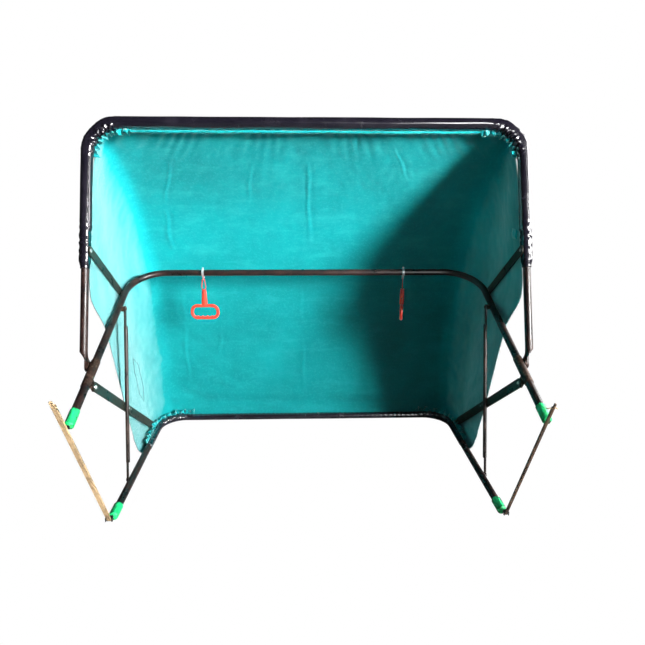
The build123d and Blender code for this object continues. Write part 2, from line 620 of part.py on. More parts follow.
def main():
    write(rim_hoop(), "rim_hoop", 0x3A2420)
    write(middle_hoop(), "middle_hoop", 0x3A2420)
    write(base_hoop(), "base_hoop", 0x3A2420)
    write(rim_sleeve(), "rim_sleeve", 0x17161C)
    write(hoop(BASE_BAR, BASE_TIP, BASE_HALF_W, BASE_CORNER_R, BASE_SLEEVE_LEG,
               BASE_SLEEVE_R, TUBE_R + SLEEVE_GAP), "base_sleeve", 0x17161C)
    write(catch_cloth(), "catch_cloth", 0x12AFAF)
    for side, sign in SIDES.items():
        write(rim_end(sign), f"rim_leg_end_{side}", 0x4A3A30)
        write(leg_bracket(sign), f"leg_bracket_{side}", 0x5A4636)
        write(prop_link(sign), f"prop_link_{side}", 0x2D3228)
        write(cross_link(sign), f"cross_link_{side}", 0x2D3228)
        write(strut(sign), f"strut_{side}", 0x241A18)
        write(foot_cap(sign, MIDDLE_HALF_W, MIDDLE_TIP, MIDDLE_BAR, MIDDLE_CAP_R),
              f"middle_foot_{side}", 0x20C060)
        write(foot_cap(sign, BASE_HALF_W, BASE_TIP, BASE_BAR, BASE_CAP_R),
              f"base_foot_{side}", 0x20C060)
        write(tie_clip(sign, TIE_WIDE[side]), f"tie_clip_{side}", 0x151515)
        write(sole_pad(sign), f"sole_pad_{side}", 0x151515)
        write(tie_bar(side), f"tie_bar_{side}", 0xC8A57A)
        write(pin(sign, LUG_X + 0.1, RIM_END_X + RIM_END_T + 0.4, RIM_PIVOT, PIVOT_R,
                  [(RIM_END_X + RIM_END_T + 0.3, 1, HEAD_R, HEAD_T)]), f"rim_pivot_pin_{side}", 0xC0C0C0)
        write(pin(sign, CROSS_X - 0.4, CROSS_X + BAR_T + 0.3, CROSS_TOP, PIVOT_R,
                  [(CROSS_X - 0.3, -1, HEAD_R, HEAD_T)]), f"cross_rivet_{side}", 0xC0C0C0)
        write(pin(sign, PROP_X - 0.3, PROP_X + BAR_T, PROP_TOP, PIVOT_R,
                  [(PROP_X - 0.2, -1, HEAD_R, 1.0)]), f"prop_rivet_{side}", 0xC0C0C0)
        turn = HANDLE_TURN[side]
        x = HANDLE_X[side]
        write(handle_hook(x), f"handle_hook_{side}", 0xD0D0D4)
        write(handle_swivel(x, turn), f"handle_swivel_{side}", 0xD0D0D4)
        write(handle_loop(x, turn), f"handle_loop_{side}", 0xE02020)
        write(handle_grip(x, turn), f"handle_grip_{side}", 0xE84428)
        write(handle_screw(x, turn), f"handle_screw_{side}", 0xC0C0C0)
    both = SIDES.values()
    write(group(tie_pin(SIDES[side], TIE_WIDE[side]) for side in SIDES), "tie_pins", 0xB0B0B0)
    write(group(pin(sign, MIDDLE_HALF_W + TUBE_R + 0.1, PROP_X + BAR_T + 0.4, PROP_BOTTOM, PIVOT_R,
                    [(PROP_X + BAR_T + 0.3, 1, HEAD_R, 1.0)]) for sign in both), "prop_studs", 0xC0C0C0)
    write(group(pin(sign, STRUT_X - BAR_T / 2 - 0.4, MIDDLE_HALF_W - TUBE_R - 0.1, STRUT_TOP, PIVOT_R,
                    [(STRUT_X - BAR_T / 2 - 0.3, -1, HEAD_R, HEAD_T)]) for sign in both),
          "strut_top_bolts", 0xC0C0C0)
    write(group(collar(sign, STRUT_X + BAR_T / 2 + 0.2, MIDDLE_HALF_W - TUBE_R - 0.1, STRUT_TOP, 7.0)
                for sign in both), "strut_top_spacers", 0x808080)
    write(group(pin(sign, BASE_HALF_W + TUBE_R + 0.1, STRUT_X + BAR_T / 2 + 0.4, STRUT_BOTTOM, PIVOT_R,
                    [(STRUT_X + BAR_T / 2 + 0.3, 1, HEAD_R, 1.9)]) for sign in both),
          "strut_bottom_bolts", 0xC0C0C0)
    write(group(pin(sign, BASE_HALF_W + 4, CROSS_X + BAR_T + 0.4, CROSS_BOTTOM, PIVOT_R,
                    [(CROSS_X + BAR_T + 0.3, 1, HEAD_R, HEAD_T)]) for sign in both),
          "cross_bottom_bolts", 0xC0C0C0)
    write(group(collar(sign, BASE_HALF_W + BASE_SLEEVE_R + 0.2, CROSS_X - 0.3, CROSS_BOTTOM, 8.0)
                for sign in both), "cross_bottom_spacers", 0x808080)


main()
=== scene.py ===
"""Looks of the golf chipping net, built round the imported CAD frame.  Metres, +Z up, mouth faces -Y."""
import json
import math
import random

import bpy
import numpy as np
from mathutils import Matrix, Vector, noise


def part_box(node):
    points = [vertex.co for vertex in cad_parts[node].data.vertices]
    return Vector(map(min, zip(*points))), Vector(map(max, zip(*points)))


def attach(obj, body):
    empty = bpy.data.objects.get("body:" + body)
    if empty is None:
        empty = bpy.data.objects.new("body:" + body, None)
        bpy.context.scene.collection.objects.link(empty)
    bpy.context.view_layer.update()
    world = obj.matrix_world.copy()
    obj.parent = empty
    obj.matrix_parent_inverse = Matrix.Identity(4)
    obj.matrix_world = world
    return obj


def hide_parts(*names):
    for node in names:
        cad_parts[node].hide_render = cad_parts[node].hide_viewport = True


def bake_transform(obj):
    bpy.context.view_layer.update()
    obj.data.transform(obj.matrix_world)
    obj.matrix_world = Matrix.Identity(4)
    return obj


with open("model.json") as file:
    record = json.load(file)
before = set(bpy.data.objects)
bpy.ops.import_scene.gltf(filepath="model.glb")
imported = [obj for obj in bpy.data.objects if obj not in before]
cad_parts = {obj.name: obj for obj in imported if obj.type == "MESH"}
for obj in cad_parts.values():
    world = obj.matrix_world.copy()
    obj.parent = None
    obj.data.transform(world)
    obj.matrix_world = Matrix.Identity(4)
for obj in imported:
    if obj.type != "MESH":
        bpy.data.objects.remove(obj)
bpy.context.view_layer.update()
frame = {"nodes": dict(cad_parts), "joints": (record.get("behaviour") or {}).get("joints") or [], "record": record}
nodes = frame["nodes"]
joint_at = {joint["name"]: Vector(joint["pos_m"]) for joint in frame["joints"]}

# ---- places read from the frame; the tube and corner radii and the bar's y repeat the CAD ---------
TUBE_R = 0.009
RIM_HALF_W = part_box("rim_hoop")[1].x - TUBE_R
BASE_HALF_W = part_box("base_hoop")[1].x - TUBE_R
RIM_CORNER_R = 0.070
BASE_CORNER_R = 0.080
RIM_SLEEVE_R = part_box("rim_sleeve")[1].x - RIM_HALF_W
BASE_SLEEVE_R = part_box("base_sleeve")[1].x - BASE_HALF_W
RIM_PIVOT = joint_at["rim_fold"]
RIM_BAR = Vector((0, 0.037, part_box("rim_hoop")[1].z - TUBE_R))
BASE_BAR = Vector((0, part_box("base_hoop")[1].y - TUBE_R, BASE_SLEEVE_R))
LEG_DOWN = (Vector((0, RIM_PIVOT.y, RIM_PIVOT.z)) - RIM_BAR).normalized()
LEG_BACK = Vector((0, -LEG_DOWN.z, LEG_DOWN.y))
SIDES = (("left", -1), ("right", 1))


# ---- node material helpers ----------------------------------------------------------------------
class Shader:
    """A small builder for one node material."""

    def __init__(self, name, colour, roughness, metallic=0.0):
        self.material = bpy.data.materials.new(name)
        self.material.use_nodes = True
        self.tree = self.material.node_tree
        self.bsdf = self.tree.nodes["Principled BSDF"]
        self.bsdf.inputs["Base Color"].default_value = (*colour, 1)
        self.bsdf.inputs["Roughness"].default_value = roughness
        self.bsdf.inputs["Metallic"].default_value = metallic
        self.coords = self.tree.nodes.new("ShaderNodeTexCoord")

    def set(self, **values):
        for name, value in values.items():
            self.bsdf.inputs[name.replace("_", " ")].default_value = value
        return self

    def link(self, source, target):
        self.tree.links.new(source, target)

    def mapping(self, scale=(1, 1, 1)):
        node = self.tree.nodes.new("ShaderNodeMapping")
        node.inputs["Scale"].default_value = scale
        self.link(self.coords.outputs["Object"], node.inputs["Vector"])
        return node.outputs["Vector"]

    def noise(self, scale, detail=4.0, roughness=0.55, stretch=(1, 1, 1), distortion=0.0):
        node = self.tree.nodes.new("ShaderNodeTexNoise")
        node.inputs["Scale"].default_value = scale
        node.inputs["Detail"].default_value = detail
        node.inputs["Roughness"].default_value = roughness
        node.inputs["Distortion"].default_value = distortion
        self.link(self.mapping(stretch), node.inputs["Vector"])
        return node.outputs["Fac"]

    def wave(self, scale, direction, distortion=0.0, detail=0.0):
        node = self.tree.nodes.new("ShaderNodeTexWave")
        node.bands_direction = direction
        node.inputs["Scale"].default_value = scale
        node.inputs["Distortion"].default_value = distortion
        node.inputs["Detail"].default_value = detail
        self.link(self.mapping(), node.inputs["Vector"])
        return node.outputs["Fac"]

    def ramp(self, factor, stops):
        node = self.tree.nodes.new("ShaderNodeValToRGB")
        ramp = node.color_ramp
        while len(ramp.elements) < len(stops):
            ramp.elements.new(0.5)
        for element, (position, colour) in zip(ramp.elements, stops):
            element.position = position
            element.color = (*colour, 1) if hasattr(colour, "__len__") else (colour,) * 3 + (1,)
        self.link(factor, node.inputs["Fac"])
        return node.outputs["Color"]

    def feed(self, sockets, values):
        for socket, value in zip(sockets, values):
            if isinstance(value, bpy.types.NodeSocket):
                self.link(value, socket)
            elif hasattr(value, "__len__"):
                socket.default_value = (*value, 1)
            else:
                socket.default_value = value

    def mix(self, factor, first, second):
        node = self.tree.nodes.new("ShaderNodeMix")
        node.data_type = "RGBA"
        self.feed((node.inputs[0], node.inputs[6], node.inputs[7]), (factor, first, second))
        return node.outputs[2]

    def multiply(self, first, second):
        output = self.mix(1.0, first, second)
        output.node.blend_type = "MULTIPLY"
        return output

    def math(self, operation, first, second):
        node = self.tree.nodes.new("ShaderNodeMath")
        node.operation = operation
        self.feed(node.inputs[:2], (first, second))
        return node.outputs[0]

    def colour(self, output):
        self.link(output, self.bsdf.inputs["Base Color"])
        return self

    def rough(self, output):
        self.link(output, self.bsdf.inputs["Roughness"])
        return self

    def bump(self, height, strength, distance=0.001):
        node = self.tree.nodes.new("ShaderNodeBump")
        node.inputs["Strength"].default_value = strength
        node.inputs["Distance"].default_value = distance
        self.link(height, node.inputs["Height"])
        self.link(node.outputs["Normal"], self.bsdf.inputs["Normal"])
        return self


# ---- materials ----------------------------------------------------------------------------------
def painted_tube(name, dark, light, worn):
    """Satin paint over steel with rubbed brown patches and fine scratches."""
    s = Shader(name, dark, 0.34)
    patches = s.noise(26, 6, 0.65)
    scratches = s.noise(60, 3, 0.6, stretch=(1, 6, 6))
    base = s.mix(s.ramp(patches, [(0.42, 0.0), (0.66, 1.0)]), dark, light)
    s.colour(s.mix(s.ramp(scratches, [(0.64, 0.0), (0.74, 1.0)]), base, worn))
    s.rough(s.ramp(patches, [(0.3, 0.22), (0.75, 0.50)]))
    s.set(Specular_IOR_Level=0.35)
    return s.bump(s.noise(420, 3), 0.12, 0.0004).material


def rusty_steel(name, dark, mid, light):
    """Pressed steel, browned and pitted."""
    s = Shader(name, mid, 0.55, 0.45)
    rust = s.noise(110, 8, 0.7)
    s.colour(s.ramp(rust, [(0.36, dark), (0.56, mid), (0.70, light)]))
    s.rough(s.ramp(rust, [(0.3, 0.7), (0.7, 0.35)]))
    return s.bump(rust, 0.5, 0.0006).material


def bright_metal(name, tint, roughness):
    s = Shader(name, tint, roughness, 0.6)
    s.rough(s.ramp(s.noise(180, 4), [(0.3, roughness), (0.8, roughness + 0.16)]))
    return s.bump(s.noise(900, 2), 0.06, 0.0002).material


def moulded(name, colour, deep, roughness):
    """Glossy moulded plastic with faint flow marks and scuffs."""
    s = Shader(name, colour, roughness)
    s.colour(s.mix(s.ramp(s.noise(45, 4, 0.5), [(0.35, 0.0), (0.7, 1.0)]), colour, deep))
    s.rough(s.ramp(s.noise(260, 4), [(0.35, roughness), (0.75, roughness + 0.18)]))
    s.set(Coat_Weight=0.12, Coat_Roughness=0.18, Specular_IOR_Level=0.4)
    return s.bump(s.noise(700, 2), 0.08, 0.0003).material


def glossy_vinyl(name):
    """Black coated cloth: fine leather grain under a hard gloss."""
    s = Shader(name, (0.008, 0.007, 0.011), 0.24)
    grain = s.tree.nodes.new("ShaderNodeTexVoronoi")
    grain.inputs["Scale"].default_value = 620
    s.link(s.mapping(), grain.inputs["Vector"])
    dust = s.noise(14, 5, 0.6)
    s.colour(s.mix(s.ramp(dust, [(0.5, 0.0), (0.85, 1.0)]), (0.006, 0.005, 0.010), (0.020, 0.017, 0.026)))
    s.rough(s.ramp(s.noise(35, 4), [(0.3, 0.14), (0.75, 0.32)]))
    s.set(Coat_Weight=0.6, Coat_Roughness=0.10)
    return s.bump(grain.outputs["Distance"], 0.14, 0.0004).material


def teal_cloth(name, depth=1.0):
    """Felt-like woven cloth with chalky mottling and a fine weave, with painted shade darkening it towards the
    bottom and a painted sheen whitening it where it is seen edge-on.
    """
    deep, base, chalk = (0.002, 0.27 * depth, 0.28 * depth), (0.003, 0.35 * depth, 0.36 * depth), (
        0.03, 0.50 * depth, 0.50 * depth)
    s = Shader(name, base, 0.9)
    clouds = s.noise(5, 5, 0.6)
    streaks = s.noise(16, 6, 0.7, stretch=(0.5, 0.9, 1.8), distortion=0.3)
    flecks = s.noise(170, 3, 0.7)
    tone = s.mix(s.ramp(clouds, [(0.35, 0.0), (0.7, 1.0)]), deep, base)
    tone = s.mix(s.ramp(streaks, [(0.50, 0.0), (0.80, 0.45)]), tone, chalk)
    tone = s.mix(s.ramp(flecks, [(0.50, 0.0), (0.78, 0.40)]), tone, chalk)
    # painted shade: the cloth's colour is darkened below about 0.6 m of height, where less light falls
    lit = s.tree.nodes.new("ShaderNodeSeparateXYZ")
    s.link(s.coords.outputs["Object"], lit.inputs[0])
    painted_shade_low = s.ramp(lit.outputs["Z"], [(0.30, 0.66), (0.62, 1.0)])
    tone = s.multiply(tone, painted_shade_low)
    # painted sheen: the colour is mixed towards pale cyan where the cloth is seen edge-on
    painted_sheen_facing = s.tree.nodes.new("ShaderNodeLayerWeight")
    painted_sheen_facing.inputs["Blend"].default_value = 0.5
    s.colour(s.mix(s.ramp(painted_sheen_facing.outputs["Facing"], [(0.30, 0.0), (0.80, 0.36)]), tone, (0.50, 0.85, 0.85)))
    weave = s.math("MULTIPLY", s.wave(300, "DIAGONAL", 0.6, 2), s.wave(420, "Z", 0.6, 2))
    s.set(Sheen_Weight=1.0, Sheen_Roughness=0.30, Sheen_Tint=(0.80, 1.0, 1.0, 1), Specular_IOR_Level=0.1)
    return s.bump(s.math("ADD", weave, s.math("MULTIPLY", flecks, 1.2)), 0.35, 0.0006).material


def chipped_strip(name, light, dark):
    """Paint chipped away over a brown strip."""
    s = Shader(name, light, 0.5)
    chips = s.noise(38, 7, 0.72, stretch=(1, 1, 0.45))
    s.colour(s.ramp(chips, [(0.36, dark), (0.46, light), (0.60, tuple(min(0.9, c * 1.5) for c in light)),
                            (0.70, dark)]))
    s.rough(s.ramp(chips, [(0.3, 0.7), (0.6, 0.35)]))
    return s.bump(chips, 0.4, 0.0008).material


MATERIALS = {
    "tube": painted_tube("tube_paint", (0.010, 0.006, 0.006), (0.034, 0.014, 0.011), (0.11, 0.06, 0.04)),
    "flat_bar": painted_tube("flat_bar_paint", (0.013, 0.015, 0.010), (0.030, 0.030, 0.020),
                             (0.10, 0.09, 0.06)),
    "rod": painted_tube("rod_paint", (0.010, 0.008, 0.007), (0.045, 0.024, 0.016), (0.12, 0.07, 0.05)),
    "worn_steel": rusty_steel("worn_steel_rust", (0.012, 0.007, 0.005), (0.060, 0.028, 0.018),
                              (0.30, 0.20, 0.14)),
    "foot_cap": moulded("foot_cap_green", (0.020, 0.66, 0.22), (0.008, 0.50, 0.12), 0.34),
    "black_plastic": moulded("black_plastic_moulded", (0.006, 0.006, 0.006), (0.014, 0.014, 0.014), 0.45),
    "tie_strip": chipped_strip("tie_strip_tan", (0.42, 0.29, 0.16), (0.10, 0.05, 0.025)),
    "bright_steel": bright_metal("bright_steel_plated", (0.80, 0.80, 0.78), 0.22),
    "chrome": bright_metal("chrome_plated", (0.90, 0.91, 0.94), 0.08),
    "red_cord": moulded("red_cord_plastic", (0.80, 0.02, 0.012), (0.62, 0.010, 0.008), 0.32),
    "red_plastic": moulded("red_plastic_moulded", (0.90, 0.055, 0.025), (0.78, 0.030, 0.016), 0.34),
    "vinyl": glossy_vinyl("vinyl_black"),
    "cloth": teal_cloth("cloth_teal"),
}
DARK_STRIP = chipped_strip("tie_strip_brown", (0.060, 0.034, 0.020), (0.020, 0.012, 0.008))
THREAD = teal_cloth("cloth_thread_dark", 0.25)
# painted light: a brighter copy of the cloth colour, used on the tab so that it reads as lit
PAINTED_LIT_CLOTH = teal_cloth("cloth_teal_painted_lit", 1.5)


def dress_cad_nodes():
    """Gives every carried-over CAD node the material of its slot."""
    slots = {row["node"]: row["material_slot"] for row in frame["record"]["subparts"]}
    for name, obj in nodes.items():
        obj.data.materials.clear()
        obj.data.materials.append(DARK_STRIP if name == "tie_bar_right" else MATERIALS[slots[name]])


# ---- mesh helpers -------------------------------------------------------------------------------
def new_object(name, verts, faces, material, smooth=True):
    mesh = bpy.data.meshes.new(name)
    mesh.from_pydata([tuple(v) for v in verts], [], faces)
    mesh.validate()
    obj = bpy.data.objects.new(name, mesh)
    bpy.context.scene.collection.objects.link(obj)
    mesh.materials.append(material)
    mesh.polygons.foreach_set("use_smooth", [smooth] * len(mesh.polygons))
    return obj


def grid_faces(rows, columns, closed=False, start=0, flip=False):
    """Quads over a grid of rows by columns, wrapping across the columns when closed."""
    last = columns if closed else columns - 1
    quads = [(start + r * columns + c, start + r * columns + (c + 1) % columns,
              start + (r + 1) * columns + (c + 1) % columns, start + (r + 1) * columns + c)
             for r in range(rows - 1) for c in range(last)]
    return [q[::-1] for q in quads] if flip else quads


def hoop_path(bar, leg_end, half_w, corner_r, step):
    """Points from the left leg's end over the bar to the right leg's end, with round corners."""
    down = (leg_end - bar).normalized()
    leg = (leg_end - bar).length
    points = []
    straight = max(2, int((leg - corner_r) / step))
    for i in range(straight):
        points.append(Vector((-half_w, 0, 0)) + bar + down * (leg - (leg - corner_r) * i / straight))
    turns = max(8, int(corner_r * math.pi / 2 / step))
    for i in range(turns + 1):
        a = math.pi / 2 * i / turns
        points.append(Vector((-half_w + corner_r - corner_r * math.cos(a), 0, 0))
                      + bar + down * (corner_r - corner_r * math.sin(a)))
    across = max(2, int((2 * half_w - 2 * corner_r) / step))
    for i in range(1, across):
        points.append(bar + Vector((-half_w + corner_r + (2 * half_w - 2 * corner_r) * i / across, 0, 0)))
    mirrored = [Vector((-p.x, p.y, p.z)) for p in reversed(points[:straight + turns + 1])]
    return points + mirrored


def tube_mesh(name, path, radius_at, material, around=32):
    """A capped tube along a path whose radius is a function of (arc length, angle, point, outward)."""
    rings, travelled = [], 0.0
    side = None
    for i, point in enumerate(path):
        tangent = (path[min(i + 1, len(path) - 1)] - path[max(i - 1, 0)]).normalized()
        if side is None:
            side = tangent.cross(Vector((0, 1, 0.3))).normalized()
        side = (side - tangent * side.dot(tangent)).normalized()
        other = tangent.cross(side)
        if i:
            travelled += (point - path[i - 1]).length
        for k in range(around):
            angle = 2 * math.pi * k / around
            out = side * math.cos(angle) + other * math.sin(angle)
            rings.append(point + out * radius_at(travelled, angle, point, out))
    faces = grid_faces(len(path), around, closed=True)
    faces.append(tuple(range(around))[::-1])
    last = (len(path) - 1) * around
    faces.append(tuple(range(last, last + around)))
    return new_object(name, rings, faces, material)


def wobble(x, y=0.0, z=0.0):
    return noise.noise(Vector((x, y, z)))


# ---- vinyl sleeves ------------------------------------------------------------------------------
def corner_bend(point, half_w, corner_r, bar, down):
    """1 in the middle of a hoop's corner fading to 0 just past its ends, and the inward direction."""
    sign = math.copysign(1, point.x)
    centre = Vector((sign * (half_w - corner_r), 0, 0)) + bar + down * corner_r
    away = point - centre
    inward = -away.normalized()
    turn = math.degrees(math.atan2(-away.dot(down), away.x * sign))
    spread = 60.0
    on_arc = abs(away.length - corner_r) < 0.3 * corner_r
    return (max(0.0, 1 - (abs(turn - 45) / spread) ** 2) if on_arc else 0.0), inward


def rim_sleeve():
    """The padded vinyl over the rim: gathered into lumps inside the corners, tight below the padding."""
    padding, cuff = 0.335, 0.352            # ends of the padding and of the cuff, down the leg
    tied_at, tied_reach = 0.285, 0.055      # where the sleeve is twisted tight, and how far that spreads
    slim_from, slim_reach = 0.262, 0.0102   # below this its inward side reaches no further than that
    path = hoop_path(RIM_BAR, RIM_BAR + LEG_DOWN * cuff, RIM_HALF_W, RIM_CORNER_R, 0.0025)

    def radius(travelled, angle, point, out):
        bend, inward = corner_bend(point, RIM_HALF_W, RIM_CORNER_R, RIM_BAR, LEG_DOWN)
        inner = max(0.0, out.dot(inward))
        phase = travelled * 430 + 5.0 * wobble(travelled * 45, math.sin(angle) * 1.5, 2.0) + 1.6 * angle
        height = 0.8 + 0.9 * wobble(travelled * 70, math.cos(angle) * 2, 4.0)
        fold = abs(math.sin(phase / 2)) ** 0.7 * height
        gather = 0.0105 * bend * inner ** 1.2 * (0.15 + 0.9 * fold)
        outer = max(0.0, -out.dot(inward))
        kink = math.exp(-((bend - 0.82) / 0.10) ** 2) - 0.9 * max(0.0, bend - 0.9) * 10
        pucker = outer * (0.0012 * kink + 0.0018 * bend * wobble(travelled * 110, math.sin(angle) * 2, 7.0))
        soft = 0.0008 * wobble(travelled * 9, math.cos(angle) * 1.4, math.sin(angle) * 1.4)
        down = (point - RIM_BAR).dot(LEG_DOWN)
        tied = max(0.0, 1 - abs(down - tied_at) / tied_reach)
        twist = 0.0011 * tied * math.sin(travelled * 330 + 2.0 * angle + 2 * wobble(travelled * 50))
        size = RIM_SLEEVE_R - 0.0006
        if down > padding:
            size -= min(1.0, (down - padding) / 0.012) * 0.0032
        size += gather + pucker + soft + twist
        if down > slim_from:
            facing = max(0.0, -out.x * math.copysign(1, point.x))
            size = min(size, slim_reach / facing) if facing > 0.35 else size
            size = max(size, TUBE_R + 0.0006)
        return size

    obj = tube_mesh("rim_sleeve_vinyl", path, radius, MATERIALS["vinyl"], 40)
    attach(obj, "rim")
    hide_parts("rim_sleeve")


def base_sleeve():
    """The thinner vinyl sleeve over the base bar and its corners, gathered inside the corners."""
    path = hoop_path(BASE_BAR, BASE_BAR + Vector((0, -0.200, 0)), BASE_HALF_W, BASE_CORNER_R, 0.0025)
    forward = Vector((0, -1, 0))

    def radius(travelled, angle, point, out):
        bend, inward = corner_bend(point, BASE_HALF_W, BASE_CORNER_R, BASE_BAR, forward)
        upper = max(0.0, out.dot((inward * 0.6 + Vector((0, 0, 0.8))).normalized()))
        phase = travelled * 480 + 5.0 * wobble(travelled * 50, math.sin(angle) * 1.5, 3.0) + 1.4 * angle
        height = 0.8 + 0.9 * wobble(travelled * 80, math.cos(angle) * 2, 8.0)
        fold = abs(math.sin(phase / 2)) ** 0.7 * height
        gather = 0.0075 * bend * upper ** 1.2 * (0.15 + 0.9 * fold)
        soft = 0.0004 * wobble(travelled * 12, math.cos(angle), math.sin(angle))
        crimp = 0.0004 * math.sin(travelled * 420 + 3 * wobble(travelled * 20)) * max(0.0, out.z)
        return BASE_SLEEVE_R - 0.0008 + gather + soft + crimp

    obj = tube_mesh("base_sleeve_vinyl", path, radius, MATERIALS["vinyl"])
    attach(obj, "base")
    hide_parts("base_sleeve")


# ---- cloth sling --------------------------------------------------------------------------------
# cuts across the sling from the top bar down: place along the cloth, front hem (y, z), back (y, z),
# then half widths at the hem, along the wing, at the turn into the back sheet and where that is flat
CUTS = [
    (0.000, (0.0460, 0.9072), (0.0465, 0.9075), (0.497, 0.490, 0.482, 0.455)),
    (0.012, (0.0490, 0.8970), (0.0640, 0.8990), (0.510, 0.508, 0.500, 0.462)),
    (0.125, (0.0080, 0.7860), (0.1500, 0.8120), (0.517, 0.517, 0.494, 0.462)),
    (0.270, (-0.0400, 0.6490), (0.2400, 0.6900), (0.518, 0.520, 0.490, 0.458)),
    (0.400, (-0.0820, 0.5300), (0.3020, 0.5550), (0.519, 0.521, 0.487, 0.452)),
    (0.530, (-0.0100, 0.4150), (0.3450, 0.4120), (0.517, 0.519, 0.483, 0.448)),
    (0.700, (0.0240, 0.2700), (0.3600, 0.2700), (0.508, 0.510, 0.477, 0.444)),
    (0.850, (0.0540, 0.1400), (0.3570, 0.1350), (0.502, 0.504, 0.474, 0.440)),
    (0.955, (0.0830, 0.0450), (0.3470, 0.0450), (0.498, 0.500, 0.472, 0.436)),
    (0.980, (0.0900, 0.0175), (0.3360, 0.0180), (0.4955, 0.4970, 0.470, 0.430)),
    (0.988, (0.0920, 0.0090), (0.3315, 0.0100), (0.4935, 0.4945, 0.466, 0.424)),
    (0.994, (0.0930, 0.0045), (0.3290, 0.0055), (0.4900, 0.4915, 0.460, 0.418)),
    (1.000, (0.0935, 0.0015), (0.3250, 0.0015), (0.4800, 0.4800, 0.452, 0.410)),
]
CUT_AT = np.array([c[0] for c in CUTS])
CUT_VALUES = np.array([[*c[1], *c[2], *c[3]] for c in CUTS])
COARSE = (84, 72)       # cells across and down while the cloth settles
FINE = (336, 288)       # cells across and down afterwards
HEM_W = 0.009
# how far the inner face stands out at the hem, elsewhere and at the stitching; the outer face is CLOTH_T
HEM_T, CLOTH_T, STITCH_T = 0.0015, 0.0008, 0.0004
CLOTH_BODY = 0.22       # how firmly every point is drawn back to its set shape
CLOTH_MASS = 0.12       # kilograms at each point of the settling sheet
GRAVITY_SHARE = 0.5
SETTLE_STEPS = 30
LEGS_END, BASE_START = 0.40, 0.95       # along the cloth: held to the rim's legs above, to the base below
UPPER_END, MIDDLE_END = 0.52, 0.89      # where the sling's three lengths meet, along the cloth


def steady_slopes(x, y):
    """Slopes at the cuts for a smooth curve that never overshoots between them."""
    h = np.diff(x)[:, None]
    d = np.diff(y, axis=0) / h
    inner = np.where(d[:-1] * d[1:] > 0, 2 * d[:-1] * d[1:] / (d[:-1] + d[1:] + 1e-12), 0.0)
    return np.vstack([d[:1], inner, d[-1:]])


CUT_SLOPES = steady_slopes(CUT_AT, CUT_VALUES)


def cut_at(v):
    """The cut across the sling at v, between 0 at the top bar and 1 under the base bar."""
    i = int(np.clip(np.searchsorted(CUT_AT, v, side="right") - 1, 0, len(CUTS) - 2))
    h = CUT_AT[i + 1] - CUT_AT[i]
    t = (v - CUT_AT[i]) / h
    a, b = CUT_VALUES[i], CUT_VALUES[i + 1]
    return ((1 + 2 * t) * (1 - t) ** 2 * a + t * (1 - t) ** 2 * h * CUT_SLOPES[i]
            + t * t * (3 - 2 * t) * b + t * t * (t - 1) * h * CUT_SLOPES[i + 1])


def cloth_row(v, across):
    """Points along one cut of the sling, evenly spaced from hem to hem."""
    fy, fz, by, bz, hem, side, turn, flat = cut_at(v)
    outline = [(hem, 0.0), ((hem + side) / 2, 0.28), (side, 0.64), (turn, 0.93),
               (turn * 0.5 + flat * 0.5, 0.985), (flat, 1.0), (flat * 0.6, 1.0), (0.0, 1.0)]
    depth = math.hypot(by - fy, bz - fz)
    fine = []
    for (x0, d0), (x1, d1) in zip(outline[:-1], outline[1:]):
        for k in range(12):
            fine.append((x0 + (x1 - x0) * k / 12, d0 + (d1 - d0) * k / 12))
    fine.append(outline[-1])
    fine = np.array(fine)
    for _ in range(20):
        fine[1:-1] = 0.5 * fine[1:-1] + 0.25 * (fine[:-2] + fine[2:])
    fine = np.vstack([fine * (-1, 1), fine[-2::-1]])
    run = np.concatenate([[0], np.cumsum(np.hypot(np.diff(fine[:, 0]), np.diff(fine[:, 1]) * depth))])
    even = np.linspace(0, run[-1], across + 1)
    x, deep = np.interp(even, run, fine[:, 0]), np.interp(even, run, fine[:, 1])
    return np.stack([x, fy + (by - fy) * deep, fz + (bz - fz) * deep], axis=1)


def cloth_grid(size):
    across, down = size
    return np.array([cloth_row(r / down, across) for r in range(down + 1)])


def settle(grid):
    """Lets the sheet sag a few millimetres, with its edges held and every point drawn to its set place."""
    rows, columns = grid.shape[:2]
    obj = new_object("cloth_settling", grid.reshape(-1, 3), grid_faces(rows, columns), MATERIALS["cloth"])
    pins = obj.vertex_groups.new(name="pins")
    leg_rows, base_rows = int(rows * LEGS_END), int(rows * BASE_START)
    for r in range(rows):
        for c in range(columns):
            edge = min(c, columns - 1 - c)
            firm = r <= 1 or r >= base_rows or (edge <= 1 and r <= leg_rows)
            pins.add([r * columns + c], 1.0 if firm else CLOTH_BODY, "REPLACE")
    cloth = obj.modifiers.new("settle", "CLOTH")
    settings = cloth.settings
    settings.quality = 6
    settings.mass = CLOTH_MASS
    settings.tension_stiffness = 60
    settings.compression_stiffness = 20
    settings.shear_stiffness = 15
    settings.bending_stiffness = 0.5
    settings.vertex_group_mass = "pins"
    settings.effector_weights.gravity = GRAVITY_SHARE
    settings.air_damping = 4.0
    cloth.collision_settings.use_collision = False
    cloth.collision_settings.use_self_collision = False
    cloth.point_cache.frame_start, cloth.point_cache.frame_end = 1, SETTLE_STEPS
    scene = bpy.context.scene
    scene.frame_start, scene.frame_end = 1, SETTLE_STEPS
    for step in range(1, SETTLE_STEPS + 1):
        scene.frame_set(step)
    settled = obj.evaluated_get(bpy.context.evaluated_depsgraph_get())
    points = np.array([v.co for v in settled.data.vertices], float).reshape(grid.shape)
    bpy.data.objects.remove(obj)
    scene.frame_set(1)
    moved = 1000 * np.linalg.norm(points - grid, axis=2)
    print(f"the sling settled {moved.mean():.1f} mm on average and {moved.max():.1f} mm at most")
    return points


